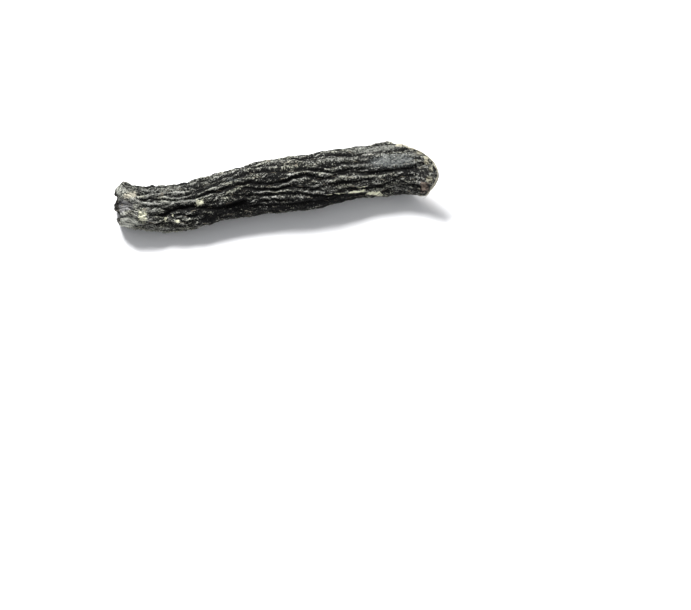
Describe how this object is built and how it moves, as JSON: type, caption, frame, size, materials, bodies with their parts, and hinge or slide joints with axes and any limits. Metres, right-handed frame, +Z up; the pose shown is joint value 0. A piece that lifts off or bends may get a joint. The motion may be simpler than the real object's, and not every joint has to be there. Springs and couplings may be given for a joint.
{
  "type": "dried comfrey root",
  "caption": "Dried comfrey root: a thick, nearly black, deeply furrowed piece, cut on a slant at its crown end and torn into lobes at its thinner end.",
  "frame": {"origin": "middle of the bounding box, on the surface that the root lies on", "axes": "+X along the root, from its torn thinner end to its cut thicker end; +Z up from the surface it lies on"},
  "size_m": [0.1202, 0.0266, 0.0189],
  "materials": {
    "bark": "dry, matt, deeply wrinkled root bark"
  },
  "bodies": {
    "root": {"comfrey_root": "bark"}
  },
  "joints": []
}
